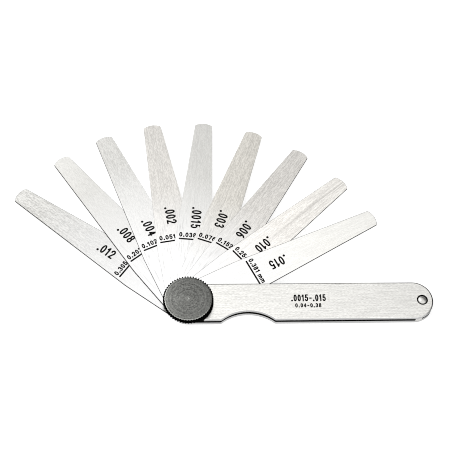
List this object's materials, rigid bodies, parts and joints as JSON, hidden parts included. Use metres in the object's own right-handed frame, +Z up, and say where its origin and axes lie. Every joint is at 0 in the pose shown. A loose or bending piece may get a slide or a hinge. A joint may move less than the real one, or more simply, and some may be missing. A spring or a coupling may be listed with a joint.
{
  "type": "feeler gauge",
  "caption": "Locking feeler gauge: tapered steel thickness leaves fan out of a flat two-plate case and are clamped by a knurled knob at the pivot.",
  "frame": {"origin": "on the pivot axis, at the outer face of the back cover, which the gauge rests on", "axes": "+X along the case from the pivot to the tail rivet, +Y the side the leaves are fanned over, +Z up out of the front cover and the lock knob"},
  "size_m": [0.1371, 0.0785, 0.006],
  "materials": {
    "cover_steel": "bright rolled plate, fine lengthwise grain",
    "leaf_steel": "ground spring steel, lengthwise grain",
    "dark_steel": "blackened, turned face, knurled rim",
    "plain_steel": "plain turned steel"
  },
  "bodies": {
    "case": {"front_cover": "cover_steel", "back_cover": "cover_steel", "tail_spacer": "plain_steel", "tail_rivet": "plain_steel", "pivot_bushing": "plain_steel"},
    "washer": {"clamp_washer": "plain_steel"},
    "knob": {"lock_knob": "dark_steel", "lock_screw": "plain_steel"},
    "leaf_012": {"leaf_012": "leaf_steel"},
    "leaf_008": {"leaf_008": "leaf_steel"},
    "leaf_004": {"leaf_004": "leaf_steel"},
    "leaf_002": {"leaf_002": "leaf_steel"},
    "leaf_0015": {"leaf_0015": "leaf_steel"},
    "leaf_003": {"leaf_003": "leaf_steel"},
    "leaf_006": {"leaf_006": "leaf_steel"},
    "leaf_010": {"leaf_010": "leaf_steel"},
    "leaf_015": {"leaf_015": "leaf_steel"}
  },
  "joints": [
    {"name": "washer_lift", "type": "slide", "parent": "case", "child": "washer", "axis": [0, 0, 1], "range_m": [0, 0.0009]},
    {"name": "knob_turn", "type": "hinge", "parent": "washer", "child": "knob", "pos_m": [0, 0, 0], "axis": [0, 0, 1], "range_deg": [0, 540]},
    {"name": "leaf_012_swing", "type": "hinge", "parent": "case", "child": "leaf_012", "pos_m": [0, 0, 0], "axis": [0, 0, 1], "range_deg": [-143.3, 216.7]},
    {"name": "leaf_008_swing", "type": "hinge", "parent": "case", "child": "leaf_008", "pos_m": [0, 0, 0], "axis": [0, 0, 1], "range_deg": [-127.8, 232.2]},
    {"name": "leaf_004_swing", "type": "hinge", "parent": "case", "child": "leaf_004", "pos_m": [0, 0, 0], "axis": [0, 0, 1], "range_deg": [-114, 246]},
    {"name": "leaf_002_swing", "type": "hinge", "parent": "case", "child": "leaf_002", "pos_m": [0, 0, 0], "axis": [0, 0, 1], "range_deg": [-99.6, 260.4]},
    {"name": "leaf_0015_swing", "type": "hinge", "parent": "case", "child": "leaf_0015", "pos_m": [0, 0, 0], "axis": [0, 0, 1], "range_deg": [-84.7, 275.3]},
    {"name": "leaf_003_swing", "type": "hinge", "parent": "case", "child": "leaf_003", "pos_m": [0, 0, 0], "axis": [0, 0, 1], "range_deg": [-70, 290]},
    {"name": "leaf_006_swing", "type": "hinge", "parent": "case", "child": "leaf_006", "pos_m": [0, 0, 0], "axis": [0, 0, 1], "range_deg": [-55.3, 304.7]},
    {"name": "leaf_010_swing", "type": "hinge", "parent": "case", "child": "leaf_010", "pos_m": [0, 0, 0], "axis": [0, 0, 1], "range_deg": [-40.5, 319.5]},
    {"name": "leaf_015_swing", "type": "hinge", "parent": "case", "child": "leaf_015", "pos_m": [0, 0, 0], "axis": [0, 0, 1], "range_deg": [-26.6, 333.4]}
  ],
  "couplings": [
    {"joint": "washer_lift", "follows": "knob_turn", "m_per_rad": 0.000095492}
  ]
}
